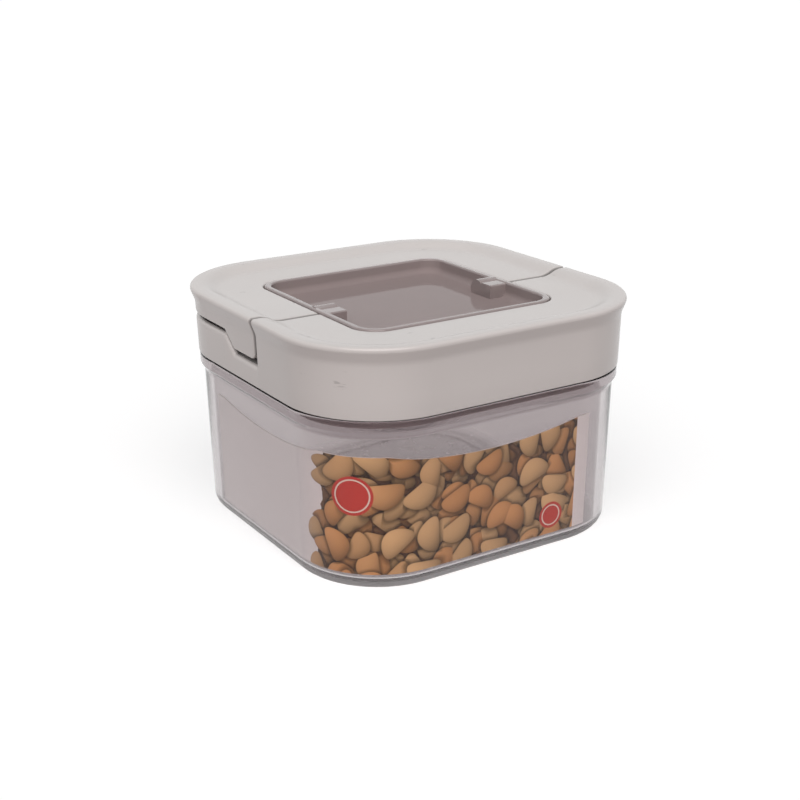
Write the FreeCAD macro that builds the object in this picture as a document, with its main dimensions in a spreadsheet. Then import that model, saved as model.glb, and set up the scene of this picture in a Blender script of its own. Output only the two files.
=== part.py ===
import FreeCAD, Part
import math
import os
import Sketcher

# Food canister with a flip-lock lid: a clear rounded-square cup, a white lid cover, a U-shaped
# flip handle and a smoky inner tray that the handle's cams pull up to squeeze the seal.
# Millimetres, +Z up, origin at the middle of the base, -Y is the front and +Y the handle's grip side.

doc = FreeCAD.newDocument("food_canister")

# Driving dimensions
DIMENSIONS = {
    # plan outline of the lid's lip, which every ring follows as a parallel offset
    "lip_half": 54.0,
    "corner_radius": 29.4,
    # heights
    "seam": 49.3,
    "seam_gap": 0.3,
    "lid_height": 19.9,
    # how far features are sunk into each other, and how far cutting outlines run past the solid
    "sink": 1.0,
    "overrun": 10.0,
    "skim": 0.05,
    # lid cover
    "lip_overhang": 1.25,
    "skirt_draft": 0.45,
    "skirt_wall": 1.6,
    "ledge": 0.8,
    "lip_edge": 1.3,
    "lip_flare": 3.2,
    "lip_fillet": 6.0,
    "lip_low_round": 1.2,
    "lip_round": 0.9,
    "lip_band": 4.1,
    "crease_round": 7.5,
    "dish_band": 8.1,
    "dish_round": 7.5,
    "top_width": 21.4,
    "opening_round": 0.5,
    "dish": 1.8,
    "skin": 1.85,
    "flange_wall": 1.6,
    "flange_depth": 5.3,
    "split_wall": 1.6,
    "split_round": 0.8,
    "wall_foot_gap": 0.2,
    # cup
    "collar_inset": 0.2,
    "collar_depth": 3.0,
    "collar_edge": 0.6,
    "bead": 1.15,
    "bead_slope": 1.7,
    "wall": 2.3,
    "wall_draft": 1.05,
    "base_edge": 4.2,
    "floor_thickness": 3.0,
    "floor_edge": 1.2,
    "foot_width": 9.3,
    "foot_recess": 0.6,
    "neck_gap": 0.4,
    "neck_wall": 1.6,
    "neck_rise": 3.4,
    # flip line between the cover and the handle
    "pivot_y": -1.9,
    "pivot_drop": 4.4,
    "lug_front": 5.2,
    "lug_depth": 7.7,
    "lug_rear": 7.7,
    "lug_slope": 5.4,
    "handle_depth": 7.6,
    "split_gap": 1.15,
    "lug_gap": 1.7,
    "rear_gap": 1.4,
    "slope_gap": 0.65,
    "nose_round": 2.0,
    "heel_round": 2.5,
    "bay_round": 2.0,
    "lug_round": 1.0,
    "slope_round": 1.5,
    # handle
    "handle_wall": 1.9,
    "rib": 1.2,
    "rib_past": 1.4,
    "rib_pitch": 12.0,
    "rear_rib_inset": 1.6,
    "rear_rib_pitch": 15.0,
    "rib_lift": 0.4,
    "hub_radius": 2.9,
    "cam_depth": 7.35,
    "cam_inset": 7.5,
    "cam_width": 4.0,
    "cam_tail": 3.0,
    "cam_tail_round": 1.5,
    "cam_gap": 0.3,
    # pivot pins
    "pin_radius": 1.5,
    "pin_clearance": 0.08,
    "pin_cover": 3.0,
    "pin_grip": 4.0,
    "pin_end_gap": 0.3,
    "pin_chamfer": 0.3,
    # inner tray
    "tray_gap": 0.45,
    "tray_rise": 0.25,
    "tray_wall": 2.0,
    "tray_depth": 4.35,
    "tray_floor": 2.0,
    "tray_round": 2.0,
    "tray_rim_round": 0.6,
    "tray_land": 0.3,
    "housing_radius": 3.1,
    "housing_reach": 5.6,
    "block_length": 4.8,
    "block_rise": 4.1,
    "block_round": 0.5,
    "flange_gap": 0.8,
    "flange_thickness": 2.0,
    "rib_height": 2.3,
    "rib_width": 1.4,
    "seal_inset": 4.5,
    # base ring and seal
    "deck": 2.0,
    "deck_gap": 0.5,
    "fit_gap": 0.1,
    "guide_depth": 2.2,
    "guide_wall": 1.6,
    "pad_margin": 0.4,
    "pad_front": 3.0,
    "pad_rear": 5.0,
    "pad_round": 0.8,
    "seal_gap": 0.3,
    "seal_height": 4.2,
    "seal_web": 3.6,
    "seal_lip": 0.5,
    "seal_undercut": 0.4,
    # printed card
    "card": 0.4,
    "card_gap": 0.3,
    "card_lift": 1.3,
    "card_height": 33.8,
    "card_front_past": 6.0,
    "card_side_past": 0.25,
    "card_bow": 145.0,
    "card_front_middle": -4.0,
    "card_front_dip": 3.2,
    "card_side_middle": -5.0,
    "card_side_dip": 2.4,
}

sheet = doc.addObject("Spreadsheet::Sheet", "Sizes")
for row, (alias, value) in enumerate(DIMENSIONS.items(), start=1):
    sheet.set(f"A{row}", alias)
    sheet.set(f"B{row}", str(value))
    sheet.setAlias(f"B{row}", alias)
doc.recompute()


class Size:
    """A length that knows its number and the sheet expression that gives it."""

    def __init__(self, value, text):
        self.value = value
        self.text = text

    def __add__(self, other):
        other = as_size(other)
        return Size(self.value + other.value, f"({self.text} + {other.text})")

    def __sub__(self, other):
        other = as_size(other)
        return Size(self.value - other.value, f"({self.text} - {other.text})")

    def __mul__(self, factor):
        factor = as_size(factor)
        return Size(self.value * factor.value, f"({self.text} * {factor.text})")

    def __truediv__(self, other):
        other = as_size(other)
        return Size(self.value / other.value, f"({self.text} / {other.text})")

    def __neg__(self):
        return Size(-self.value, f"(0 - {self.text})")


def as_size(thing):
    """A plain number becomes a Size with that number as its expression."""
    if isinstance(thing, Size):
        return thing
    return Size(float(thing), f"{float(thing):.6f}")


def of(alias):
    """The driving dimension with this alias."""
    return Size(float(sheet.get(alias)), f"Sizes.{alias}")


def bind(item, path, size):
    item.setExpression(path, as_size(size).text)


def plane_of(body, role):
    return next(feature for feature in body.Origin.OriginFeatures if feature.Role == role)


def new_body(label):
    body = doc.addObject("PartDesign::Body", label)
    body.Label = label
    return body


def new_sketch(body, name, role, lift=0):
    """An empty sketch on one of the body's origin planes, lifted along the plane's normal."""
    sketch = body.newObject("Sketcher::SketchObject", name)
    sketch.AttachmentSupport = [(plane_of(body, role), "")]
    sketch.MapMode = "FlatFace"
    height = as_size(lift)
    sketch.AttachmentOffset = FreeCAD.Placement(FreeCAD.Vector(0, 0, height.value), FreeCAD.Rotation())
    bind(sketch, "AttachmentOffset.Base.z", height)
    return sketch


def drive(sketch, kind, where, size):
    """A dimension of the sketch, bound to the sheet."""
    size = as_size(size)
    index = sketch.addConstraint(Sketcher.Constraint(kind, *where, size.value))
    bind(sketch, f"Constraints[{index}]", size)


def rounded_corner(before, corner, after, radius):
    """Tangent points, centre and turning side of the arc that rounds a corner."""
    back = (before - corner).normalize()
    ahead = (after - corner).normalize()
    half_angle = math.acos(max(-1.0, min(1.0, back.dot(ahead)))) / 2
    run = radius / math.tan(half_angle)
    middle = (back + ahead).normalize()
    centre = corner + middle * (radius / math.sin(half_angle))
    left_turn = back.cross(ahead).z < 0
    return corner + back * run, corner + ahead * run, centre, left_turn


def draw(sketch, points, closed=True):
    """Straight runs through the points. A point's third value rounds that corner with a tangent arc."""
    count = len(points)
    corners = [FreeCAD.Vector(as_size(p[0]).value, as_size(p[1]).value, 0) for p in points]
    runs = count if closed else count - 1
    entry = list(corners)
    leave = list(corners)
    arcs = {}
    for i, point in enumerate(points):
        if len(point) > 2:
            radius = as_size(point[2]).value
            shape = rounded_corner(corners[i - 1], corners[i], corners[(i + 1) % count], radius)
            entry[i], leave[i], centre, left_turn = shape
            first = entry[i] if left_turn else leave[i]
            last = leave[i] if left_turn else entry[i]
            start = math.atan2(first.y - centre.y, first.x - centre.x)
            end = math.atan2(last.y - centre.y, last.x - centre.x)
            if end < start:
                end = end + 2 * math.pi
            circle = Part.Circle(centre, FreeCAD.Vector(0, 0, 1), radius)
            arcs[i] = (Part.ArcOfCircle(circle, start, end), left_turn)
    lines = []
    for i in range(runs):
        lines.append(sketch.addGeometry(Part.LineSegment(leave[i], entry[(i + 1) % count])))
    for i, point in enumerate(points):
        if i in arcs:
            arc, left_turn = arcs[i]
            bend = sketch.addGeometry(arc)
            mark = sketch.addGeometry(Part.Point(corners[i]), True)
            begin, finish = (1, 2) if left_turn else (2, 1)
            sketch.addConstraint(Sketcher.Constraint("Tangent", lines[i - 1], 2, bend, begin))
            sketch.addConstraint(Sketcher.Constraint("Tangent", bend, finish, lines[i], 1))
            sketch.addConstraint(Sketcher.Constraint("PointOnObject", mark, 1, lines[i - 1]))
            sketch.addConstraint(Sketcher.Constraint("PointOnObject", mark, 1, lines[i]))
            drive(sketch, "Radius", (bend,), point[2])
            spot = (mark, 1)
        elif i < runs:
            if closed or i > 0:
                sketch.addConstraint(Sketcher.Constraint("Coincident", lines[i - 1], 2, lines[i], 1))
            spot = (lines[i], 1)
        else:
            spot = (lines[i - 1], 2)
        drive(sketch, "DistanceX", (-1, 1, *spot), point[0])
        drive(sketch, "DistanceY", (-1, 1, *spot), point[1])
    return sketch


def draw_circle(sketch, across, up, radius):
    """A circle about a point of the sketch."""
    centre = FreeCAD.Vector(as_size(across).value, as_size(up).value, 0)
    circle = Part.Circle(centre, FreeCAD.Vector(0, 0, 1), as_size(radius).value)
    index = sketch.addGeometry(circle)
    drive(sketch, "Radius", (index,), radius)
    drive(sketch, "DistanceX", (-1, 1, index, 3), across)
    drive(sketch, "DistanceY", (-1, 1, index, 3), up)
    return sketch


def ring_points(half):
    """Rounded square with its start in the middle of the right side, parallel to the lid's lip."""
    radius = of("corner_radius") - (of("lip_half") - half)
    return [(half, 0), (half, half, radius), (-half, half, radius),
            (-half, -half, radius), (half, -half, radius)]


def box_points(low_u, high_u, low_v, high_v, *radius):
    return [(low_u, low_v, *radius), (high_u, low_v, *radius),
            (high_u, high_v, *radius), (low_u, high_v, *radius)]


def sweep_ring(body, name, profile):
    """Carries a closed profile of (half width, height) points round the lid's outline."""
    path = draw(new_sketch(body, name + "_path", "XY_Plane"), ring_points(of("lip_half")))
    section = draw(new_sketch(body, name + "_profile", "XZ_Plane"), profile)
    doc.recompute()
    pipe = body.newObject("PartDesign::AdditivePipe", name)
    pipe.Profile = section
    pipe.Spine = (path, [f"Edge{i + 1}" for i in range(len(path.Shape.Edges))])
    doc.recompute()
    return pipe


def pad(body, name, sketch, length):
    feature = body.newObject("PartDesign::Pad", name)
    feature.Profile = sketch
    feature.Length = as_size(length).value
    bind(feature, "Length", length)
    doc.recompute()
    return feature


def cut(body, name, sketch, length=None):
    """Pocket along the sketch's normal by a length, or both ways through everything."""
    before = body.Shape.Volume
    feature = body.newObject("PartDesign::Pocket", name)
    feature.Profile = sketch
    if length is None:
        feature.SideType = "Symmetric"
        feature.Type = "ThroughAll"
    else:
        feature.Reversed = True
        feature.Length = as_size(length).value
        bind(feature, "Length", length)
    doc.recompute()
    if body.Shape.Volume > before - 1e-3:
        raise RuntimeError(f"{body.Label}: {name} removes nothing")
    return feature


def mirror(body, name, features):
    """Repeats the right side's features on the left."""
    feature = body.newObject("PartDesign::Mirrored", name)
    feature.Originals = features
    feature.MirrorPlane = (plane_of(body, "YZ_Plane"), [""])
    body.Tip = feature
    doc.recompute()
    return feature


# Places that several pieces share, outlines first, as half widths, then heights
lip_half = of("lip_half")
flat_half = lip_half - of("corner_radius")
skirt_high_half = lip_half - of("lip_overhang")
skirt_low_half = skirt_high_half - of("skirt_draft")
collar_half = skirt_low_half - of("collar_inset")
wall_top_half = collar_half - of("bead")
wall_base_half = wall_top_half - of("wall_draft")
cup_inside_low = wall_base_half - of("wall")
foot_half = wall_base_half - of("foot_width")
neck_half = skirt_low_half - of("skirt_wall") - of("neck_gap")
neck_inside = neck_half - of("neck_wall")
opening_half = lip_half - of("top_width")
tray_half = opening_half - of("tray_gap")
tray_inside = tray_half - of("tray_wall")
plate_half = neck_inside - of("flange_gap")
rib_half = plate_half - of("seal_inset")
reach = lip_half + of("overrun")

seam = of("seam")
lip_top = seam + of("lid_height")
lip_low = lip_top - of("lip_edge")
skirt_top = lip_low - of("lip_flare")
shoulder = seam - of("seam_gap")
rim = shoulder + of("neck_rise")
floor = of("floor_thickness")
opening_top = lip_top - of("dish")
skin_low = opening_top - of("skin")
flange_low = opening_top - of("flange_depth")
deck_low = rim + of("deck_gap")
deck_top = deck_low + of("deck")
tray_top = opening_top + of("tray_rise")
tray_floor = tray_top - of("tray_depth")
plate_top = deck_low - of("seal_gap") * 2 - of("seal_height")

pivot_y = of("pivot_y")
pivot_z = lip_top - of("pivot_drop")
lug_low = pivot_z - of("lug_depth")
cam_low = pivot_z - of("cam_depth")
handle_front = pivot_y - of("lug_front")
split = handle_front - of("split_gap")
handle_low = lip_top - of("handle_depth")
rear_top = handle_low - of("rear_gap")
hub_radius = of("hub_radius")
bore_radius = of("pin_radius") + of("pin_clearance")


def skirt_half(height):
    """Outer half width of the drafted skirt at a height."""
    draft = of("skirt_draft") / (skirt_top - seam)
    return skirt_low_half + draft * (height - seam)


def cup_inside(height):
    """Inner half width of the drafted cup wall at a height."""
    draft = (neck_inside - cup_inside_low) / (rim - floor)
    return cup_inside_low + draft * (height - floor)


hub_end = skirt_half(lug_low) - of("handle_wall") / 2
pin_tip = hub_end - of("pin_cover")
cam_start = skirt_half(lug_low) - of("cam_inset") - of("cam_width")


def top_profile():
    """The lid's top from the skirt over the raised lip and down into the flat dish to the opening."""
    return [(skirt_high_half, skirt_top, of("lip_fillet")),
            (lip_half, lip_low, of("lip_low_round")),
            (lip_half, lip_top, of("lip_round")),
            (lip_half - of("lip_band"), lip_top, of("crease_round")),
            (lip_half - of("dish_band"), opening_top, of("dish_round")),
            (opening_half, opening_top, of("opening_round"))]


# Cup: a drafted wall with a foot, a bead under the lid and a thin neck, swept round the outline
def make_container():
    body = new_body("container")
    collar_low = shoulder - of("collar_depth")
    wall_top = collar_low - of("bead_slope")
    sweep_ring(body, "cup_wall", [
        (foot_half, 0),
        (wall_base_half, 0, of("base_edge")),
        (wall_top_half, wall_top),
        (collar_half, collar_low),
        (collar_half, shoulder - of("collar_edge")),
        (collar_half - of("collar_edge"), shoulder),
        (neck_half, shoulder),
        (neck_half, rim),
        (neck_inside, rim),
        (cup_inside(floor + of("floor_edge")), floor + of("floor_edge")),
        (cup_inside_low - of("floor_edge"), floor),
        (foot_half, floor)])
    slab = new_sketch(body, "floor_outline", "XY_Plane", of("foot_recess"))
    draw(slab, ring_points(foot_half + of("sink")))
    pad(body, "cup_floor", slab, floor - of("foot_recess"))
    return body


# Printed card standing round the front left corner inside the cup, parallel to the drafted wall,
# its top edge dipping in a shallow arc on each face
def make_label():
    body = new_body("label_insert")
    low = floor + of("card_lift")
    high = low + of("card_height")
    outside_low = cup_inside(low) - of("card_gap")
    outside_high = cup_inside(high) - of("card_gap")
    sweep_ring(body, "card_ring", [
        (outside_low, low),
        (outside_high, high),
        (outside_high - of("card"), high),
        (outside_low - of("card"), low)])
    front_end = flat_half + of("card_front_past")
    side_end = flat_half + of("card_side_past")
    rest = draw(new_sketch(body, "card_ends", "XY_Plane", low), [
        (front_end, -reach),
        (reach, -reach),
        (reach, reach),
        (-reach, reach),
        (-reach, side_end),
        (front_end, side_end)])
    cut(body, "card_length", rest)
    dips = (("front", "XZ_Plane"), ("side", "YZ_Plane"))
    for side, role in dips:
        dip = new_sketch(body, f"card_{side}_dip", role)
        lowest = high - of(f"card_{side}_dip")
        draw_circle(dip, of(f"card_{side}_middle"), lowest + of("card_bow"), of("card_bow"))
        cut(body, f"card_{side}_edge", dip)
    return body


# Lid cover: skirt, lip and front half of the dished top, cut away where the handle lies
def make_cover():
    body = new_body("lid_cover")
    ledge_low = deck_top + of("skim")
    thick = of("skirt_wall") + of("ledge")
    sweep_ring(body, "cover_ring", [
        (skirt_low_half, seam)] + top_profile() + [
        (opening_half, flange_low),
        (opening_half + of("flange_wall"), flange_low),
        (opening_half + of("flange_wall"), skin_low),
        (skirt_half(skin_low) - thick, skin_low),
        (skirt_half(ledge_low) - thick, ledge_low),
        (skirt_half(ledge_low) - of("skirt_wall"), ledge_low),
        (skirt_low_half - of("skirt_wall"), seam)])
    pocket_low = lug_low - of("lug_gap")
    crest = lip_top + of("skim")
    sky = crest + of("overrun")
    bay = draw(new_sketch(body, "handle_bay_side", "YZ_Plane"), [
        (split - of("overrun"), sky),
        (split - of("overrun"), crest),
        (split, crest, of("split_round")),
        (split, pocket_low, of("bay_round")),
        (pivot_y + of("lug_rear") + of("slope_gap"), pocket_low, of("lug_round")),
        (pivot_y + of("lug_rear") + of("lug_slope") + of("slope_gap"), rear_top, of("slope_round")),
        (reach, rear_top),
        (reach, sky)])
    cut(body, "handle_bay", bay)
    wall_low = deck_top + of("wall_foot_gap")
    wall = draw(new_sketch(body, "split_wall_plan", "XY_Plane", wall_low), box_points(
        opening_half, skirt_half(deck_top) - of("skirt_wall"), split - of("split_wall"), split))
    wall = pad(body, "split_wall_right", wall, skin_low + of("sink") - wall_low)
    mirror(body, "split_walls", [wall])
    return body


# Flip handle: the same top with a channel below it, a lug, a hub and a round cam at each end
def make_handle():
    body = new_body("flip_handle")
    inner_wall = opening_half + of("flange_wall")
    sweep_ring(body, "handle_ring", [
        (skirt_half(lug_low), lug_low)] + top_profile() + [
        (opening_half, flange_low),
        (inner_wall, flange_low),
        (inner_wall, skin_low),
        (skirt_half(skin_low) - of("handle_wall"), skin_low),
        (skirt_half(lug_low) - of("handle_wall"), lug_low)])
    crest = lip_top + of("skim")
    sky = crest + of("overrun")
    outside = draw(new_sketch(body, "handle_side", "YZ_Plane"), [
        (-reach, sky),
        (handle_front + of("nose_round") + of("sink"), sky),
        (handle_front + of("nose_round") + of("sink"), crest),
        (handle_front, crest, of("nose_round")),
        (handle_front, lug_low, of("heel_round")),
        (pivot_y + of("lug_rear"), lug_low, of("lug_round")),
        (pivot_y + of("lug_rear") + of("lug_slope"), handle_low, of("slope_round")),
        (reach, handle_low),
        (reach, lug_low - of("overrun")),
        (-reach, lug_low - of("overrun"))])
    cut(body, "handle_trim", outside)
    root = skin_low + of("skin") / 2
    end_low = flange_low + of("rib")
    end_wall = draw(new_sketch(body, "end_wall_plan", "XY_Plane", end_low), box_points(
        opening_half, hub_end, handle_front, handle_front + of("rib")))
    end_wall = pad(body, "end_wall", end_wall, root - end_low)
    hub = new_sketch(body, "hub_side", "YZ_Plane", opening_half)
    draw_circle(hub, pivot_y, pivot_z, hub_radius)
    hub = pad(body, "hub", hub, hub_end - opening_half)
    web = draw(new_sketch(body, "hub_web_plan", "XY_Plane", pivot_z), box_points(
        opening_half, hub_end, pivot_y - hub_radius, pivot_y + hub_radius))
    web = pad(body, "hub_web", web, root - pivot_z)
    cam_radius = (of("cam_depth") + of("lug_front")) / 2
    cam_rear = handle_front + cam_radius + of("cam_tail")
    cam = draw(new_sketch(body, "cam_side", "YZ_Plane", cam_start), [
        (handle_front, root),
        (handle_front, cam_low, cam_radius),
        (cam_rear, cam_low, of("cam_tail_round")),
        (cam_rear, root)])
    cam = pad(body, "cam", cam, of("cam_width"))
    rib_low = flange_low + of("rib_lift")
    ribs = new_sketch(body, "rib_plan", "XY_Plane", rib_low)
    rib_start = opening_half + of("flange_wall") / 2
    rib_end = skirt_half(handle_low) - of("handle_wall") / 2
    for step in (0, 1):
        place = flat_half + of("rib_past") - of("rib_pitch") * step
        draw(ribs, box_points(rib_start, rib_end, place, place + of("rib")))
        place = flat_half - of("rear_rib_inset") - of("rear_rib_pitch") * step
        draw(ribs, box_points(place, place + of("rib"), rib_start, rib_end))
    ribs = pad(body, "ribs", ribs, root - rib_low)
    bore = new_sketch(body, "bore_side", "YZ_Plane", opening_half - of("sink"))
    draw_circle(bore, pivot_y, pivot_z, bore_radius)
    bore = cut(body, "bore", bore, pin_tip - opening_half + of("pin_end_gap") + of("sink"))
    mirror(body, "both_ends", [end_wall, hub, web, cam, ribs, bore])
    return body


# Inner tray: a hat-shaped plug with a shallow tray on top, a flange for the seal below and a
# round housing with a square block beside it for each pivot pin
def make_tray():
    body = new_body("inner_tray")
    floor_low = tray_floor - of("tray_floor")
    step = tray_inside - of("tray_round") - of("tray_land")
    plate_low = plate_top - of("flange_thickness")
    rib_inside = rib_half - of("rib_width")
    sweep_ring(body, "tray_wall", [
        (tray_half, tray_top, of("tray_rim_round")),
        (tray_half, plate_top),
        (rib_inside, plate_top),
        (rib_inside, plate_top + of("rib_height")),
        (rib_half, plate_top + of("rib_height")),
        (rib_half, plate_top),
        (plate_half, plate_top),
        (plate_half, plate_low),
        (tray_inside, plate_low),
        (tray_inside, floor_low),
        (step, floor_low),
        (step, tray_floor),
        (tray_inside, tray_floor, of("tray_round")),
        (tray_inside, tray_top, of("tray_rim_round"))])
    slab = draw(new_sketch(body, "tray_floor_outline", "XY_Plane", floor_low), ring_points(step + of("sink")))
    pad(body, "tray_bottom", slab, of("tray_floor"))
    housing_start = tray_inside - of("housing_reach")
    housing = new_sketch(body, "housing_side", "YZ_Plane", housing_start)
    draw_circle(housing, pivot_y, pivot_z, of("housing_radius"))
    housing = pad(body, "housing", housing, of("housing_reach") + of("tray_wall") / 2)
    block_rear = pivot_y - of("housing_radius") + of("sink")
    block = draw(new_sketch(body, "block_side", "YZ_Plane", housing_start), [
        (block_rear - of("block_length"), floor_low + of("tray_floor") / 2),
        (block_rear, floor_low + of("tray_floor") / 2),
        (block_rear, tray_floor + of("block_rise"), of("block_round")),
        (block_rear - of("block_length"), tray_floor + of("block_rise"), of("block_round"))])
    block = pad(body, "block", block, of("housing_reach") + of("tray_wall") / 2)
    bore = new_sketch(body, "socket_side", "YZ_Plane", tray_half - of("pin_grip"))
    draw_circle(bore, pivot_y, pivot_z, of("pin_radius"))
    bore = cut(body, "socket", bore, of("pin_grip") + of("sink"))
    mirror(body, "both_housings", [housing, block, bore])
    return body


# Pivot pin: a plain round pin pressed into the tray's housing, with the handle's hub turning on it
def make_pin(label, side):
    body = new_body(label)
    start = tray_half - of("pin_grip")
    length = pin_tip - start
    profile = new_sketch(body, label + "_round", "YZ_Plane", start if side > 0 else -start - length)
    draw_circle(profile, pivot_y, pivot_z, of("pin_radius"))
    shank = pad(body, label + "_shank", profile, length)
    rounds = [edge.Curve.TypeId == "Part::GeomCircle" for edge in shank.Shape.Edges]
    ends = [f"Edge{i + 1}" for i, is_round in enumerate(rounds) if is_round]
    chamfer = body.newObject("PartDesign::Chamfer", label + "_ends")
    chamfer.Base = (shank, ends)
    chamfer.Size = of("pin_chamfer").value
    bind(chamfer, "Size", of("pin_chamfer"))
    doc.recompute()
    return body


# Base ring: closes the cover from below, guides the tray and carries the two pads under the cams
def make_base_ring():
    body = new_body("lid_base_ring")
    outside = skirt_half(deck_low) - of("skirt_wall") - of("fit_gap")
    deck = new_sketch(body, "deck_plan", "XY_Plane", deck_low)
    draw(deck, ring_points(outside))
    draw(deck, ring_points(opening_half))
    pad(body, "deck_plate", deck, of("deck"))
    guide = new_sketch(body, "guide_plan", "XY_Plane", deck_low - of("guide_depth"))
    draw(guide, ring_points(opening_half + of("guide_wall")))
    draw(guide, ring_points(opening_half))
    pad(body, "guide_wall", guide, of("guide_depth") + of("deck") / 2)
    pad_top = cam_low - of("cam_gap")
    seat = draw(new_sketch(body, "cam_pad_plan", "XY_Plane", deck_top - of("deck") / 2), box_points(
        cam_start - of("pad_margin"), cam_start + of("cam_width") + of("pad_margin"),
        pivot_y - of("pad_front"), pivot_y + of("pad_rear"), of("pad_round")))
    seat = pad(body, "cam_pad_right", seat, pad_top - deck_top + of("deck") / 2)
    mirror(body, "cam_pads", [seat])
    return body


# Seal: a soft ring round the tray's flange with two thin lips towards the neck
def make_gasket():
    body = new_body("seal_gasket")
    low = plate_top + of("seal_gap")
    high = low + of("seal_height")
    inside = rib_half + of("seal_gap")
    web = inside + of("seal_web")
    tip = neck_inside - of("seal_gap")
    quarter = of("seal_height") / 4
    profile = [(inside, low), (web, low)]
    for lip in (low + quarter, low + quarter * 3):
        profile += [(web, lip - of("seal_undercut")), (tip, lip)]
        profile += [(tip, lip + of("seal_lip")), (web, lip + quarter)]
    sweep_ring(body, "seal_ring", profile + [(inside, high)])
    return body


bodies = [
    make_container(),
    make_label(),
    make_cover(),
    make_base_ring(),
    make_tray(),
    make_gasket(),
    make_handle(),
    make_pin("pivot_pin_left", -1),
    make_pin("pivot_pin_right", 1),
]
doc.recompute()

# Nothing is written unless every object of the document is sound
for item in doc.Objects:
    if "Invalid" in item.State or "Error" in item.State:
        raise RuntimeError(f"{item.Label} failed: {item.State}")
for body in bodies:
    if body.Shape.isNull() or not body.Shape.isValid():
        raise RuntimeError(f"{body.Label} has no sound shape")
    if len(body.Shape.Solids) != 1:
        raise RuntimeError(f"{body.Label} has {len(body.Shape.Solids)} solids")

os.makedirs("parts", exist_ok=True)
for body in bodies:
    body.Shape.exportStep(os.path.join("parts", body.Label + ".step"))
    box = body.Shape.BoundBox
    print(f"{body.Label}: {body.Shape.Volume:.0f} mm3, z {box.ZMin:.2f} to {box.ZMax:.2f}")
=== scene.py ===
import math

import bmesh
import bpy
import numpy as np
from mathutils import Matrix, Vector


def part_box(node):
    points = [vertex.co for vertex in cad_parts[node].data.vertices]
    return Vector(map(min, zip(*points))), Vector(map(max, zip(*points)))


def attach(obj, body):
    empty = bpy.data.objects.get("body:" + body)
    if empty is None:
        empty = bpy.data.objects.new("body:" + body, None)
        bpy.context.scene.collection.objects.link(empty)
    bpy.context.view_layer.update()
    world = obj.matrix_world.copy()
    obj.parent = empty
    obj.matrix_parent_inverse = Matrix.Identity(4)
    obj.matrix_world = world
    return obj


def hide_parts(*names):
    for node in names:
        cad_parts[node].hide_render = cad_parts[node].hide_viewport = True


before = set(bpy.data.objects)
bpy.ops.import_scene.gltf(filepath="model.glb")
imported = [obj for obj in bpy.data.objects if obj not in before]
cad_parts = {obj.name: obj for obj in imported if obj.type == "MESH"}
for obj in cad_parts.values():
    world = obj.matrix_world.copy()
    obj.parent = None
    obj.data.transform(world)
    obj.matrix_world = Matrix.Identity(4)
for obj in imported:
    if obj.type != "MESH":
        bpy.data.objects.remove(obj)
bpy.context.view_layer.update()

# Cup: one clear, thick-walled moulding in stiff polished plastic, a rounded square in plan.
# Its wall leans out a little up to a bead under the lid, and a thin neck above the bead stands
# inside the lid. It rests on a foot ring round a slightly raised floor.
mm = 0.001
quarter = math.pi / 2
cup_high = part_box("container")[1]
lid_low, lid_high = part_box("lid_cover")
lip_half = lid_high.x
lip_top = lid_high.z
flat_half = lip_half - 29.4 * mm
seam = lid_low.z
shoulder = seam - 0.3 * mm
rim = cup_high.z
skirt_high_half = lip_half - 1.25 * mm
skirt_low_half = skirt_high_half - 0.45 * mm
collar_half = cup_high.x
collar_low = shoulder - 3.0 * mm
wall_top_half = collar_half - 1.15 * mm
wall_top = collar_low - 1.7 * mm
wall_base_half = wall_top_half - 1.05 * mm
neck_half = skirt_low_half - 2.0 * mm
neck_inside = neck_half - 1.6 * mm
cup_inside_low = wall_base_half - 2.3 * mm
floor_top = 3.0 * mm
foot_half = wall_base_half - 9.3 * mm
foot_recess = 0.6 * mm
corner_steps = 24


def trace(corners, closed=False, steps=6):
    """Points along straight runs through corners (across, up, radius). A corner with a radius becomes
    an arc: it starts and ends radius / tan(half the inner angle) from the corner along its two sides,
    and its points lie at equal turns about the arc's centre."""
    spots = np.array([corner[:2] for corner in corners], float)
    points = []
    for i, corner in enumerate(corners):
        radius = corner[2] if len(corner) > 2 else 0.0
        if radius == 0.0 or not (closed or 0 < i < len(corners) - 1):
            points.append(spots[i:i + 1])
            continue
        back = spots[i - 1] - spots[i]
        ahead = spots[(i + 1) % len(spots)] - spots[i]
        back /= np.linalg.norm(back)
        ahead /= np.linalg.norm(ahead)
        half_angle = math.acos(np.clip(back @ ahead, -1, 1)) / 2
        middle = (back + ahead) / np.linalg.norm(back + ahead)
        centre = spots[i] + middle * radius / math.sin(half_angle)
        start = spots[i] + back * radius / math.tan(half_angle) - centre
        sign = -np.sign(back[0] * ahead[1] - back[1] * ahead[0])
        angle = sign * np.linspace(0, math.pi - 2 * half_angle, steps + 1)
        turned = np.stack([start[0] * np.cos(angle) - start[1] * np.sin(angle),
                           start[0] * np.sin(angle) + start[1] * np.cos(angle)], axis=1)
        points.append(centre + turned)
    return np.concatenate(points)


def round_corners(numbers, steps=corner_steps):
    """Stations round corners of the outline, numbered anticlockwise from the back right. Each has a
    base point, which is the corner of the inner square, and a direction, turned in equal steps."""
    sides = flat_half * np.array([(1, 1), (-1, 1), (-1, -1), (1, -1)], float)
    base = np.repeat(sides[numbers], steps + 1, axis=0)
    facing = np.array(numbers)[:, None] * quarter + np.linspace(0, quarter, steps + 1)
    return base, facing.ravel()


def along_side(side, places):
    """Stations on a straight side, right or left, at places along y."""
    base = np.stack([np.full(len(places), side * flat_half), places], axis=1)
    return base, np.full(len(places), 0.0 if side > 0 else 2 * quarter)


def joined(*runs):
    """Several runs of stations one after another."""
    return tuple(np.concatenate(parts) for parts in zip(*runs))


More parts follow.
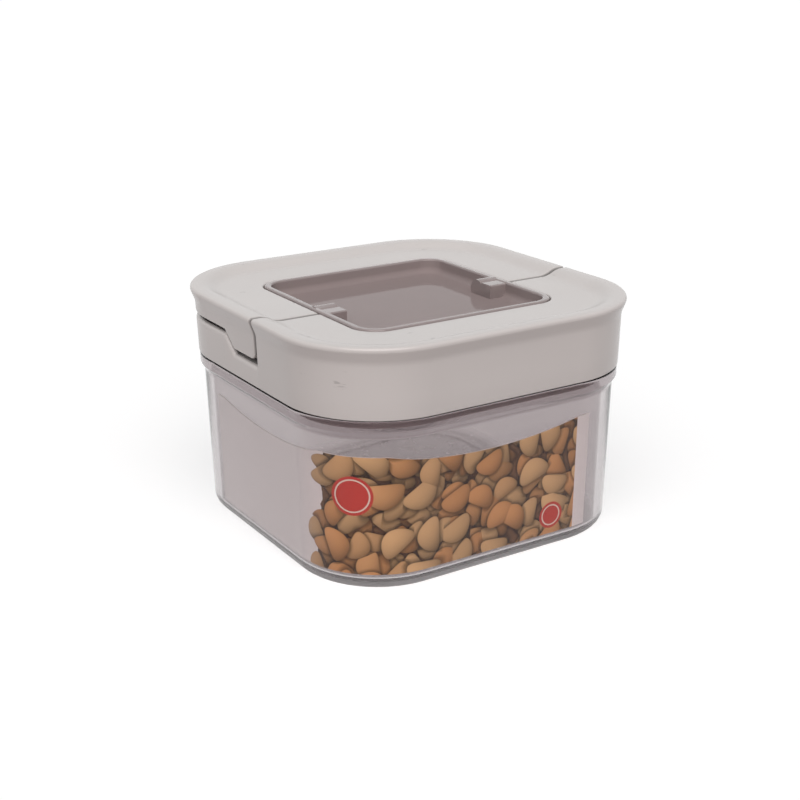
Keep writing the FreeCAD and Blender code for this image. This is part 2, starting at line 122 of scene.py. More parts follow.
def sweep(stations, across, up):
    """Carries a profile along stations: its half width, less the inner square's, runs out from the base
    point in the station's direction, and its height is z. The profile may differ between stations."""
    base, facing = stations
    out = np.broadcast_to(across - flat_half, (len(base), across.shape[-1]))
    x = base[:, :1] + np.cos(facing)[:, None] * out
    y = base[:, 1:] + np.sin(facing)[:, None] * out
    return np.stack([x, y, np.broadcast_to(up, x.shape)], axis=-1)


def quads(rows, columns, round_rows=False, round_columns=False):
    """Four-sided faces between the points of a grid, closed over its last row or column where asked."""
    i = np.arange(rows if round_rows else rows - 1)[:, None]
    j = np.arange(columns if round_columns else columns - 1)[None, :]
    i_next = (i + 1) % rows
    j_next = (j + 1) % columns
    cells = [i * columns + j, i_next * columns + j, i_next * columns + j_next, i * columns + j_next]
    return np.stack(np.broadcast_arrays(*cells), axis=-1).reshape(-1, 4).tolist()


def add_piece(name, shells, sharp_degrees=32):
    """One object from shells of (points, faces), smooth but for edges sharper than an angle."""
    points = []
    faces = []
    for shell_points, shell_faces in shells:
        start = sum(len(p) for p in points)
        points.append(shell_points.reshape(-1, 3))
        faces += [[start + k for k in face] for face in shell_faces]
    mesh = bpy.data.meshes.new(name)
    mesh.from_pydata(np.concatenate(points).tolist(), [], faces)
    mesh.polygons.foreach_set("use_smooth", np.ones(len(faces), bool))
    mesh.set_sharp_from_angle(angle=math.radians(sharp_degrees))
    piece = bpy.data.objects.new(name, mesh)
    bpy.context.scene.collection.objects.link(piece)
    return piece


cup_profile = trace([
    (foot_half, foot_recess),
    (foot_half, 0, 0.3 * mm),
    (wall_base_half, 0, 4.2 * mm),
    (wall_top_half, wall_top, 2.0 * mm),
    (collar_half, collar_low, 1.2 * mm),
    (collar_half, shoulder, 0.7 * mm),
    (neck_half, shoulder, 0.4 * mm),
    (neck_half, rim, 0.5 * mm),
    (neck_inside, rim, 0.5 * mm),
    (cup_inside_low, floor_top, 1.2 * mm),
    (foot_half, floor_top)])
cup_wall = sweep(round_corners([0, 1, 2, 3]), cup_profile[:, 0], cup_profile[:, 1])
rows, columns = cup_wall.shape[:2]
underside = [i * columns for i in range(rows)][::-1]
inside_floor = [i * columns + columns - 1 for i in range(rows)]
cup = add_piece("cup", [(cup_wall, quads(rows, columns, round_rows=True) + [underside, inside_floor])])


def add_node(tree, kind, inputs=None, **settings):
    """A shader node with its settings, and its inputs set to values or joined to other outputs."""
    made = tree.nodes.new("ShaderNode" + kind)
    for name, value in settings.items():
        setattr(made, name, value)
    for socket, value in (inputs or {}).items():
        if isinstance(value, bpy.types.NodeSocket):
            tree.links.new(value, made.inputs[socket])
        else:
            made.inputs[socket].default_value = value
    return made


def maths(tree, operation, *values):
    """The result of a Math node."""
    return add_node(tree, "Math", dict(enumerate(values)), operation=operation).outputs[0]


def vectors(tree, operation, *values):
    """The vector that a Vector Math node makes."""
    return add_node(tree, "VectorMath", dict(enumerate(values)), operation=operation).outputs[0]


def ramp(tree, value, low, high, to_low=0.0, to_high=1.0):
    """A value mapped from one range to another along a smooth step, and held at the ends."""
    spread = {"Value": value, "From Min": low, "From Max": high, "To Min": to_low, "To Max": to_high}
    return add_node(tree, "MapRange", spread, interpolation_type="SMOOTHSTEP").outputs["Result"]


def mixed(tree, factor, first, second, blend="MIX"):
    """Two colours mixed by a factor."""
    inputs = {0: factor, 6: first, 7: second}
    return add_node(tree, "Mix", inputs, data_type="RGBA", blend_type=blend).outputs[2]


def grey(tree, value):
    """A grey of a varying value."""
    return add_node(tree, "CombineColor", {0: value, 1: value, 2: value}).outputs[0]


def new_material(name):
    """An empty material with a Principled shader joined to its output."""
    material = bpy.data.materials.new(name)
    material.use_nodes = True
    tree = material.node_tree
    tree.nodes.clear()
    shader = add_node(tree, "BsdfPrincipled")
    add_node(tree, "OutputMaterial", {"Surface": shader.outputs[0]}, name="out")
    return material, tree, shader


def lets_light_through(tree, shader, tint):
    """Shadow rays pass the clear material and take on its tint, so what is inside is lit."""
    passing = add_node(tree, "BsdfTransparent", {"Color": tint})
    shadow_ray = add_node(tree, "LightPath").outputs["Is Shadow Ray"]
    mix = add_node(tree, "MixShader", {0: shadow_ray, 1: shader.outputs[0], 2: passing.outputs[0]})
    tree.links.new(mix.outputs[0], tree.nodes["out"].inputs["Surface"])


# Finish shared by the moulded plastics: faint cloudy variation of colour, a fine moulded skin and
# the light rubbing of handling, as masks and a height that each material weighs for itself.
moulded = bpy.data.node_groups.new("moulded_finish", "ShaderNodeTree")
moulded.interface.new_socket("Place", in_out="INPUT", socket_type="NodeSocketVector")
for output in ("Cloud", "Rub", "Scuff", "Height"):
    moulded.interface.new_socket(output, in_out="OUTPUT", socket_type="NodeSocketFloat")
entry = moulded.nodes.new("NodeGroupInput").outputs["Place"]
cloud = add_node(moulded, "TexNoise", {"Vector": entry, "Scale": 45.0, "Detail": 3.0}).outputs["Fac"]
skin_grain = add_node(moulded, "TexNoise", {"Vector": entry, "Scale": 900.0, "Detail": 2.0}).outputs["Fac"]
waves = add_node(moulded, "TexNoise", {"Vector": entry, "Scale": 70.0, "Detail": 1.0}).outputs["Fac"]
rub = add_node(moulded, "TexNoise", {"Vector": entry, "Scale": 260.0, "Detail": 4.0}).outputs["Fac"]
streaks = vectors(moulded, "MULTIPLY", entry, (230, 230, 1300))
streak = add_node(moulded, "TexNoise", {"Vector": streaks, "Scale": 1.0, "Detail": 2.0}).outputs["Fac"]
patch = add_node(moulded, "TexNoise", {"Vector": entry, "Scale": 55.0}).outputs["Fac"]
scuff = maths(moulded, "MULTIPLY", ramp(moulded, streak, 0.64, 0.74), ramp(moulded, patch, 0.58, 0.68))
leave = moulded.nodes.new("NodeGroupOutput")
moulded.links.new(scuff, leave.inputs["Scuff"])
moulded.links.new(cloud, leave.inputs["Cloud"])
moulded.links.new(ramp(moulded, rub, 0.55, 0.75), leave.inputs["Rub"])
height = maths(moulded, "MULTIPLY_ADD", waves, 4.0, skin_grain)
moulded.links.new(height, leave.inputs["Height"])


def own_place(tree):
    """The piece's own coordinates, which stay with it when it moves."""
    return add_node(tree, "TexCoord").outputs["Object"]


def finish_of(tree):
    """The moulded finish read at the piece's own coordinates."""
    place = own_place(tree)
    made = tree.nodes.new("ShaderNodeGroup")
    made.node_tree = moulded
    tree.links.new(place, made.inputs["Place"])
    return made.outputs


wall_tint = (0.61, 0.572, 0.577, 1)
upper_tint = (0.64, 0.60, 0.602, 1)
bead_tint_and_shade = (0.43, 0.38, 0.388, 1)
outline_tint = (0.40, 0.36, 0.365, 1)
clear_plastic, tree, shader = new_material("clear_plastic")
finish = finish_of(tree)
level = add_node(tree, "SeparateXYZ", {0: own_place(tree)}).outputs[2]
tint = mixed(tree, ramp(tree, level, 38.0 * mm, 39.4 * mm), wall_tint, upper_tint)
# The bead's tint is deeper: its plastic is thicker, and the darker tint also paints in the shade under the
# lid that shows through the collar.
tint = mixed(tree, ramp(tree, level, 43.4 * mm, 44.0 * mm), tint, bead_tint_and_shade)
grazing = add_node(tree, "LayerWeight", {"Blend": 0.5}).outputs["Facing"]
tint = mixed(tree, ramp(tree, grazing, 0.45, 0.9), tint, outline_tint)
tree.links.new(tint, shader.inputs["Base Color"])
shader.inputs["Transmission Weight"].default_value = 1.0
shader.inputs["IOR"].default_value = 1.4
shader.inputs["Specular Tint"].default_value = (0.28, 0.26, 0.265, 1)
base_matt = ramp(tree, level, 2 * mm, 4.5 * mm, 0.4, 0.02)
tree.links.new(maths(tree, "MULTIPLY_ADD", finish["Rub"], 0.03, base_matt), shader.inputs["Roughness"])
lets_light_through(tree, shader, (0.99, 0.98, 0.98, 1))
cup.data.materials.append(clear_plastic)
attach(cup, "cup")
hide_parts("container")

# Printed card: a strip of thin white board that stands inside the cup, round its front left corner.
# Its front half carries a printed heap of dried beans with two plain red discs, and its left is bare.
card_gap = 0.3 * mm
card_thickness = 0.4 * mm
card_bow = 145 * mm
card_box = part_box("label_insert")
side_steps, rear_steps, right_steps = 24, 3, 8
card_low, card_high = card_box[0].z, card_box[1].z


def cup_inside(height):
    """Inner half width of the leaning cup wall at a height."""
    lean = (neck_inside - cup_inside_low) / (rim - floor_top)
    return cup_inside_low + lean * (height - floor_top)


def dip(place, middle, depth):
    """Height of the card's top edge where it dips in an arc of one radius to a depth at its middle."""
    return card_high - depth + card_bow - np.sqrt(card_bow ** 2 - (place - middle) ** 2)


card_radius = cup_inside((card_low + card_high) / 2) - card_gap - flat_half
rear_turn = math.asin((card_box[1].y - flat_half) / card_radius)
front_turn = math.asin((card_box[1].x - flat_half) / card_radius)
rear_facing = 2 * quarter - np.linspace(rear_turn, 0, rear_steps)
rear_run = (np.full((rear_steps, 2), (-flat_half, flat_half)), rear_facing)
front_places = np.linspace(-flat_half, flat_half, side_steps + 2)[1:-1]
side_run = along_side(-1, np.linspace(flat_half, -flat_half, side_steps + 2)[1:-1])
front_base = np.stack([front_places, np.full(side_steps, -flat_half)], axis=1)
front_run = (front_base, np.full(side_steps, 3 * quarter))
right_facing = 3 * quarter + np.linspace(0, front_turn, right_steps)
right_run = (np.full((right_steps, 2), (flat_half, -flat_half)), right_facing)
card_stations = joined(rear_run, side_run, round_corners([2]), front_run, right_run)
middle_line = sweep(card_stations, np.array([card_radius + flat_half]), 0.0)[:, 0]
card_tops = np.minimum(card_high, np.minimum(dip(middle_line[:, 0], -4 * mm, 3.2 * mm),
                                             dip(middle_line[:, 1], -5 * mm, 2.4 * mm)))
card_heights = card_low + (card_tops[:, None] - card_low) * np.linspace(0, 1, 9)
card_outside = cup_inside(card_heights) - card_gap
front_face = sweep(card_stations, card_outside, card_heights)
back_face = sweep(card_stations, card_outside - card_thickness, card_heights)
rows, columns = card_heights.shape
front_quads = quads(rows, columns)
back_quads = [[rows * columns + k for k in face[::-1]] for face in front_quads]
edge = np.concatenate([
    np.arange(columns),
    np.arange(1, rows) * columns + columns - 1,
    (rows - 1) * columns + np.arange(columns - 2, -1, -1),
    np.arange(rows - 2, 0, -1) * columns])
edge_next = np.roll(edge, -1)
to_back = rows * columns
edge_quads = np.stack([edge, edge_next, edge_next + to_back, edge + to_back], axis=1).tolist()
card_faces = front_quads + back_quads + edge_quads
card = add_piece("printed_card", [(np.stack([front_face, back_face]), card_faces)])
run = np.concatenate([[0], np.cumsum(np.linalg.norm(np.diff(middle_line, axis=0), axis=1))])
facing = card_stations[1]
corner_start = rear_steps + side_steps - 1
front_start = -(side_steps + right_steps + 2)
print_turn = 2 * quarter + math.radians(7)
print_right = 26.05 * mm
print_start = np.interp(print_turn, facing[corner_start:], run[corner_start:])
print_end = np.interp(print_right, middle_line[front_start:, 0], run[front_start:]) - print_start
uv_points = np.stack([np.repeat(run - print_start, columns), card_heights.ravel()], axis=1)
uv_points = np.concatenate([uv_points, uv_points])
loops = np.empty(len(card.data.loops), np.int32)
card.data.loops.foreach_get("vertex_index", loops)
card.data.uv_layers.new(name="print").data.foreach_set("uv", uv_points[loops].ravel())
plain = np.repeat([0, 1], [len(front_quads), len(back_quads) + len(edge_quads)])
card.data.polygons.foreach_set("material_index", plain)


# One layer of the printed heap: a Voronoi pattern scatters bean centres, each cell turns its own
# offset by a random angle, and a bean covers the ellipse within one radius of its centre.
beans = bpy.data.node_groups.new("bean_layer", "ShaderNodeTree")
for name, kind in (("Place", "Vector"), ("Shift", "Vector"), ("Pitch", "Float")):
    beans.interface.new_socket(name, in_out="INPUT", socket_type="NodeSocket" + kind)
for name, kind in (("Color", "Color"), ("Cover", "Float"), ("Shadow", "Float"), ("Centre", "Vector")):
    beans.interface.new_socket(name, in_out="OUTPUT", socket_type="NodeSocket" + kind)
entry = beans.nodes.new("NodeGroupInput").outputs
pitch = add_node(beans, "CombineXYZ", {0: entry["Pitch"], 1: entry["Pitch"], 2: 1.0}).outputs[0]
cell = vectors(beans, "ADD", vectors(beans, "DIVIDE", entry["Place"], pitch), entry["Shift"])
spread = {"Vector": cell, "Scale": 1.0, "Randomness": 0.75}
scatter = add_node(beans, "TexVoronoi", spread, voronoi_dimensions="2D")
offset = vectors(beans, "SUBTRACT", cell, scatter.outputs["Position"])
chance = add_node(beans, "SeparateColor", {0: scatter.outputs["Color"]}).outputs
angle = maths(beans, "MULTIPLY", chance[0], 2 * math.pi)
turn = {"Vector": offset, "Angle": angle}
turned = add_node(beans, "VectorRotate", turn, rotation_type="Z_AXIS").outputs[0]
bean = add_node(beans, "SeparateXYZ", {0: turned}).outputs
size = maths(beans, "MULTIPLY_ADD", chance[1], 0.1, 0.42)
length_share = maths(beans, "DIVIDE", bean[0], size)
length_square = maths(beans, "POWER", length_share, 2.0)
bend = maths(beans, "MULTIPLY_ADD", length_square, 0.34, -0.12)
bent = maths(beans, "MULTIPLY_ADD", bend, size, bean[1])
width_share = maths(beans, "DIVIDE", bent, maths(beans, "MULTIPLY", size, 0.66))
reach_square = maths(beans, "ADD", length_square, maths(beans, "POWER", width_share, 2.0))
reach = maths(beans, "SQRT", reach_square)
dome = maths(beans, "SQRT", maths(beans, "MAXIMUM", 0.0, maths(beans, "SUBTRACT", 1.0, reach_square)))
tilt = add_node(beans, "SeparateXYZ", {0: offset}).outputs
lit = maths(beans, "ADD", maths(beans, "MULTIPLY", tilt[0], -0.55), maths(beans, "MULTIPLY", tilt[1], 0.7))
shade = maths(beans, "ADD", maths(beans, "MULTIPLY_ADD", dome, 0.36, 0.52), lit)
pale_bean = (0.78, 0.515, 0.25, 1)
brown_bean = (0.72, 0.375, 0.15, 1)
body_colour = mixed(beans, ramp(beans, chance[2], 0.35, 0.75), pale_bean, brown_bean)
lit_colour = mixed(beans, 1.0, body_colour, grey(beans, shade), blend="MULTIPLY")
leave = beans.nodes.new("NodeGroupOutput")
beans.links.new(lit_colour, leave.inputs["Color"])
beans.links.new(ramp(beans, reach, 0.95, 1.0, 1.0, 0.0), leave.inputs["Cover"])
beans.links.new(ramp(beans, reach, 0.95, 1.4, 0.35, 1.0), leave.inputs["Shadow"])
own_cell = vectors(beans, "SUBTRACT", scatter.outputs["Position"], entry["Shift"])
centre = vectors(beans, "MULTIPLY", own_cell, pitch)
beans.links.new(centre, leave.inputs["Centre"])

card_print, tree, shader = new_material("card_print")
place = add_node(tree, "UVMap", uv_map="print").outputs[0]
spot = add_node(tree, "SeparateXYZ", {0: place}).outputs
fibre = add_node(tree, "TexNoise", {"Vector": place, "Scale": 1400.0, "Detail": 3.0}).outputs["Fac"]
paper = mixed(tree, fibre, (0.87, 0.86, 0.855, 1), (0.93, 0.92, 0.915, 1))
wander = add_node(tree, "TexNoise", {"Vector": place, "Scale": 300.0}).outputs["Fac"]
slant = -0.113
edge = maths(tree, "MULTIPLY_ADD", spot[1], slant, spot[0])
ink = maths(tree, "GREATER_THAN", maths(tree, "MULTIPLY_ADD", wander, 3 * mm, edge), 3.5 * mm)
heap = mixed(tree, wander, (0.15, 0.08, 0.042, 1), (0.19, 0.10, 0.052, 1))
layers = [((3.1, 7.7, 0), 8.0, 0.55), ((11.4, 2.3, 0), 8.6, 0.66), ((57.2, 9.6, 0), 9.2, 0.78),
          ((23.7, 31.9, 0), 9.9, 0.9), ((40.3, 17.2, 0), 10.8, 1.0)]
for shift, pitch, depth in layers:
    layer = add_node(tree, "Group", node_tree=beans)
    tree.links.new(place, layer.inputs["Place"])
    layer.inputs["Shift"].default_value = shift
    layer.inputs["Pitch"].default_value = pitch * mm
    middle = add_node(tree, "SeparateXYZ", {0: layer.outputs["Centre"]}).outputs
    bean_edge = maths(tree, "MULTIPLY_ADD", middle[1], slant, middle[0])
    whole = maths(tree, "GREATER_THAN", bean_edge, 0.9 * mm)
    cover = maths(tree, "MULTIPLY", layer.outputs["Cover"], whole)
    shaded = mixed(tree, 1.0, heap, grey(tree, layer.outputs["Shadow"]), blend="MULTIPLY")
    under = mixed(tree, whole, heap, shaded)
    tone = mixed(tree, 1.0, layer.outputs["Color"], (depth, depth, depth, 1), blend="MULTIPLY")
    heap = mixed(tree, cover, under, tone)
    ink = maths(tree, "MAXIMUM", ink, cover)
for disc_u, disc_z, disc_radius in ((14.0, 27.0, 5.6), (76.0, 10.0, 4.0)):
    disc_place = vectors(tree, "SUBTRACT", place, (disc_u * mm, disc_z * mm, 0))
    disc_reach = add_node(tree, "VectorMath", {0: disc_place}, operation="LENGTH").outputs["Value"]
    disc = ramp(tree, disc_reach, (disc_radius - 0.1) * mm, (disc_radius + 0.1) * mm, 1.0, 0.0)
    from_ring = maths(tree, "SUBTRACT", disc_reach, (disc_radius - 1.0) * mm)
    ring_reach = maths(tree, "ABSOLUTE", from_ring)
    ring = ramp(tree, ring_reach, 0.15 * mm, 0.25 * mm, 1.0, 0.0)
    red = mixed(tree, ring, (0.60, 0.06, 0.045, 1), (0.85, 0.76, 0.64, 1))
    heap = mixed(tree, disc, heap, red)
ink = maths(tree, "MULTIPLY", ink, maths(tree, "LESS_THAN", spot[0], float(print_end)))
tree.links.new(mixed(tree, ink, paper, heap), shader.inputs["Base Color"])
shader.inputs["Roughness"].default_value = 0.45
card.data.materials.append(card_print)

card_board, tree, shader = new_material("card_board")
place = own_place(tree)
fibre = add_node(tree, "TexNoise", {"Vector": place, "Scale": 1400.0, "Detail": 3.0}).outputs["Fac"]
board = mixed(tree, fibre, (0.66, 0.635, 0.62, 1), (0.74, 0.715, 0.70, 1))
tree.links.new(board, shader.inputs["Base Color"])
shader.inputs["Roughness"].default_value = 0.7
card.data.materials.append(card_board)
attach(card, "cup")
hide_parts("label_insert")


# Base ring: a white plastic ring, moulded in one piece and closed into the cover from below. The cams
# of the handle press on its pads, and the seal is squeezed against its underside.
def white_plastic(name, colour, roughness, end=None):
    """Satin white plastic: the colour drifts a little with the cloud, rubbed places are duller and a
    fine skin bumps the surface. A cut end at y = end, which faces the front, is painted darker as shade."""
    material, tree, shader = new_material(name)
    finish = finish_of(tree)
    dull, worn, painted_shade = [tuple(share * part for part in colour[:3]) + (1,) for share in (0.94, 0.72, 0.42)]
    body = mixed(tree, finish["Cloud"], colour, dull)
    body = mixed(tree, finish["Scuff"], body, worn)
    # Painted shade: the cut end is darkened, standing in for the shade that falls in the split between
    # handle and cover.
    if end is not None:
        along = add_node(tree, "SeparateXYZ", {0: own_place(tree)}).outputs[1]
        shaded_end = ramp(tree, along, end + 0.1 * mm, end + 0.5 * mm, 1.0, 0.0)
        body = mixed(tree, shaded_end, body, painted_shade)
    tree.links.new(body, shader.inputs["Base Color"])
    rubbed = maths(tree, "MULTIPLY_ADD", finish["Rub"], 0.03, roughness)
    tree.links.new(rubbed, shader.inputs["Roughness"])
    bump = add_node(tree, "Bump", {"Height": finish["Height"], "Strength": 0.03, "Distance": 0.2 * mm})
    tree.links.new(bump.outputs[0], shader.inputs["Normal"])
    return material


def joined_copy(name, node_name, body, material):
    """A piece in the shape of a CAD node, its loose triangles joined and smooth between sharp edges. The
    node's stored normals are dropped, because they would stand in the way of the sharp edges."""
    mesh = bpy.data.meshes.new(name)
    shape = bmesh.new()
    shape.from_mesh(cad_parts[node_name].data)
    bmesh.ops.remove_doubles(shape, verts=shape.verts, dist=0.001 * mm)
    shape.to_mesh(mesh)
    shape.free()
    if "custom_normal" in mesh.attributes:
        mesh.attributes.remove(mesh.attributes["custom_normal"])
    mesh.polygons.foreach_set("use_smooth", np.ones(len(mesh.polygons), bool))
    mesh.set_sharp_from_angle(angle=math.radians(30))
    mesh.materials.clear()
    mesh.materials.append(material)
    piece = bpy.data.objects.new(name, mesh)
    piece.modifiers.new("flat_faces", "WEIGHTED_NORMAL").keep_sharp = True
    bpy.context.scene.collection.objects.link(piece)
    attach(piece, body)
    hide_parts(node_name)
    return piece


white = (0.60, 0.595, 0.585, 1)
white_ring = white_plastic("white_ring", white, 0.4)
joined_copy("base_ring", "lid_base_ring", "lid", white_ring)

# Seal: a soft ring of pale silicone with two lips, moulded in one piece. It lies between the base ring
# and the tray's flange, which squeeze it out against the neck of the cup.
silicone = white_plastic("silicone", (0.62, 0.62, 0.61, 1), 0.5)
joined_copy("seal", "seal_gasket", "inner_lid", silicone)

# Inner tray: a hat-shaped plug in smoky see-through plastic, moulded in one piece. Its tray shows in the
# middle of the lid, housings on its side walls hold the pins, and its flange lies below the seal, where it
# shows through the cup. The flange is painted paler, as painted light where the lid's skirt shades it.
flange_painted_light = (0.80, 0.74, 0.74, 1)
flange_top = 48.1 * mm
smoky_plastic, tree, shader = new_material("smoky_plastic")
finish = finish_of(tree)
smoke = mixed(tree, finish["Cloud"], (0.35, 0.305, 0.302, 1), (0.325, 0.282, 0.28, 1))
level = add_node(tree, "SeparateXYZ", {0: own_place(tree)}).outputs[2]
# Painted light: below the flange's top the smoky colour gives way to a pale one, lifting the flange out of
# the shade under the skirt.
smoke = mixed(tree, ramp(tree, level, flange_top, flange_top + 0.3 * mm), flange_painted_light, smoke)
tree.links.new(smoke, shader.inputs["Base Color"])
tree.links.new(maths(tree, "MULTIPLY_ADD", finish["Rub"], 0.08, 0.05), shader.inputs["Roughness"])
shader.inputs["Transmission Weight"].default_value = 0.25
shader.inputs["Specular IOR Level"].default_value = 0.12
shader.inputs["Specular Tint"].default_value = (0.4, 0.4, 0.4, 1)
tree.links.new(ramp(tree, level, 64.5 * mm, 66.0 * mm), shader.inputs["Coat Weight"])
shader.inputs["IOR"].default_value = 1.2
lets_light_through(tree, shader, (0.85, 0.8, 0.8, 1))
joined_copy("inner_tray", "inner_tray", "inner_lid", smoky_plastic)

# Pivot pins: two short white plastic pins, pressed into the housings on the tray's side walls. The hubs
# of the handle turn on them.
pin_plastic = white_plastic("pin_plastic", (0.6, 0.6, 0.58, 1), 0.3)
joined_copy("pin_left", "pivot_pin_left", "inner_lid", pin_plastic)
joined_copy("pin_right", "pivot_pin_right", "inner_lid", pin_plastic)

# Lid cover: one satin white moulding with the skirt, the raised lip and the front half of the dished top.
# Its rear is only the skirt, cut down to leave room for the handle, and a wall stands at each side of
# the split between the two.
skirt_top = lip_top - 4.5 * mm
opening_half = lip_half - 21.4 * mm
opening_top = lip_top - 1.8 * mm
skin_low = opening_top - 1.85 * mm
flange_low = opening_top - 5.3 * mm
flange_wall = 1.6 * mm
skirt_wall = 1.6 * mm
ledge_low = rim + 2.55 * mm
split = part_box("flip_handle")[0].y - 1.15 * mm
lug_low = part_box("flip_handle")[0].z
pocket_low = lug_low - 1.7 * mm
rear_top = lip_top - 9.0 * mm


def skirt_half(height):
    """Outer half width of the leaning skirt at a height."""
    return skirt_low_half + (skirt_high_half - skirt_low_half) * (height - seam) / (skirt_top - seam)


top_run = [
    (skirt_high_half, skirt_top, 6.0 * mm),
    (lip_half, lip_top - 1.3 * mm, 1.2 * mm),
    (lip_half, lip_top, 0.9 * mm),
    (lip_half - 4.1 * mm, lip_top, 7.5 * mm),
    (lip_half - 8.1 * mm, opening_top, 7.5 * mm),
    (opening_half, opening_top, 0.5 * mm),
    (opening_half, flange_low, 0.3 * mm),
    (opening_half + flange_wall, flange_low, 0.3 * mm),
    (opening_half + flange_wall, skin_low)]


def inset(corners, drops):
    """Corners (across, up, radius) of a closed anticlockwise profile after each side, from a corner to the
    next, has moved inwards by its own drop. A corner lies where its two moved sides meet. Its radius
    shrinks by their mean drop where the profile bulges and grows by it where the profile is hollow."""
    corners = np.array([tuple(corner) + (0.0,) * (3 - len(corner)) for corner in corners])
    along = np.roll(corners[:, :2], -1, axis=0) - corners[:, :2]
    along /= np.linalg.norm(along, axis=1)[:, None]
    before = np.roll(along, 1, axis=0)
    before_drop = np.roll(drops, 1)
    turn = before[:, 0] * along[:, 1] - before[:, 1] * along[:, 0]
    straight = np.abs(turn) < 1e-4
    meet = before_drop * np.sum(before * along, axis=1) - drops
    slip = np.where(straight, 0, meet / np.where(straight, 1, turn))
    moved = corners.copy()
    moved[:, 0] += -before[:, 1] * before_drop + before[:, 0] * slip
    moved[:, 1] += before[:, 0] * before_drop + before[:, 1] * slip
    shrunk = np.maximum(corners[:, 2] - np.sign(turn) * (drops + before_drop) / 2, 0.02 * mm)
    moved[:, 2] = np.where(corners[:, 2] > 0, shrunk, 0)
    return moved


def end_profiles(corners, drawn, radius, places):
    """The closed profile at distances from a cut end. Its first sides, as many as drawn, are moved in by
    radius - sqrt(radius^2 - (radius - distance)^2), which rounds the end's edges to a quarter circle."""
    left = np.clip(radius - places, 0, None)
    drops = radius - np.sqrt(radius ** 2 - left ** 2)
    sides = np.arange(len(corners)) < drawn
    return np.stack([trace(inset(corners, drop * sides), closed=True) for drop in drops])


def end_places(count, radius):
    """Distances from a cut end, closer together near it: radius times 1 - cos."""
    return radius * (1 - np.cos(np.linspace(0, quarter, count)))


def between_ends(ends, count):
    """Profiles for a run of stations: the eased ones at both ends, and the last of them between."""
    middle = np.broadcast_to(ends[-1], (count - 2 * len(ends),) + ends.shape[1:])
    return np.concatenate([ends, middle, ends[::-1]])


def capped(points):
    """Faces of an open swept shell with a cap over each end."""
    rows, columns = points.shape[:2]
    start = list(range(columns))
    end = [(rows - 1) * columns + k for k in range(columns)][::-1]
    return points, quads(rows, columns, round_columns=True) + [start, end]


front_corners = [
    (skirt_low_half, seam, 0.3 * mm),
    (skirt_half(pocket_low), pocket_low),
    (skirt_half(pocket_low + 0.6 * mm), pocket_low + 0.6 * mm)] + top_run + [
    (skirt_half(skin_low) - skirt_wall - 0.8 * mm, skin_low),
    (skirt_half(ledge_low) - skirt_wall - 0.8 * mm, ledge_low),
    (skirt_half(ledge_low) - skirt_wall, ledge_low),
    (skirt_low_half - skirt_wall, seam, 0.3 * mm)]
cover_round = 0.45 * mm
ease = end_places(9, cover_round)
front_ends = end_profiles(front_corners, 8, cover_round, ease)
below = front_ends[-1, :, 1] < pocket_low + 0.1 * mm
front_ends[:, below] = front_ends[-1, below]
side_places = np.concatenate([split - ease, [-flat_half]])
front_stations = joined(
    along_side(-1, side_places),
    round_corners([2, 3]),
    along_side(1, side_places[::-1]))
front_profiles = between_ends(front_ends, len(front_stations[0]))
front_block = capped(sweep(front_stations, front_profiles[..., 0], front_profiles[..., 1]))

bay = trace([
    (split, pocket_low + 1.0 * mm),
    (split, pocket_low, 0.9 * mm),
    (6.45 * mm, pocket_low, 1.0 * mm),
    (11.85 * mm, rear_top, 1.5 * mm),
    (flat_half, rear_top)], steps=8)
rear_places = bay[:, 0]
rear_tops = bay[:, 1]
rear_places[0] = split
rear_stations = joined(
    along_side(1, rear_places),
    round_corners([0, 1]),
    along_side(-1, rear_places[::-1]))
tops = np.concatenate([rear_tops, np.full(2 * (corner_steps + 1), rear_top), rear_tops[::-1]])
skirt_profile = trace([
    (skirt_low_half, seam, 0.3 * mm),
    (skirt_half(rear_top), rear_top, 1.2 * mm),
    (skirt_half(rear_top) - skirt_wall, rear_top, 0.3 * mm),
    (skirt_low_half - skirt_wall, seam, 0.3 * mm)], closed=True)
lifted = skirt_profile[:, 1] > (seam + rear_top) / 2
shift = (tops - rear_top)[:, None] * lifted
lean = (skirt_high_half - skirt_low_half) / (skirt_top - seam)
rear_across = skirt_profile[:, 0] + shift * lean
rear_skirt = capped(sweep(rear_stations, rear_across, skirt_profile[:, 1] + shift))


def block(low, high):
    """A box from its low to its high corner."""
    corners = np.array([(x, y, z) for x in (0, 1) for y in (0, 1) for z in (0, 1)], float)
    points = np.array(low) + corners * (np.array(high) - np.array(low))
    faces = [[0, 1, 3, 2], [4, 6, 7, 5], [0, 4, 5, 1], [2, 3, 7, 6], [0, 2, 6, 4], [1, 5, 7, 3]]
    return points, faces


def mirrored(shell):
    """The same shell on the left, its faces turned round to point outwards."""
    points, faces = shell
    return points * (-1, 1, 1), [face[::-1] for face in faces]


wall_out = skirt_half(skin_low) - skirt_wall - 0.3 * mm
split_wall = block((opening_half + 0.4 * mm, split - 1.6 * mm, rim + 2.7 * mm),
                   (wall_out, split - 0.15 * mm, skin_low + 0.8 * mm))
cover = add_piece("lid_cover", [front_block, rear_skirt, split_wall, mirrored(split_wall)])
cover.data.materials.append(white_plastic("white_cover", white, 0.24))
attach(cover, "lid")
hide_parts("lid_cover")

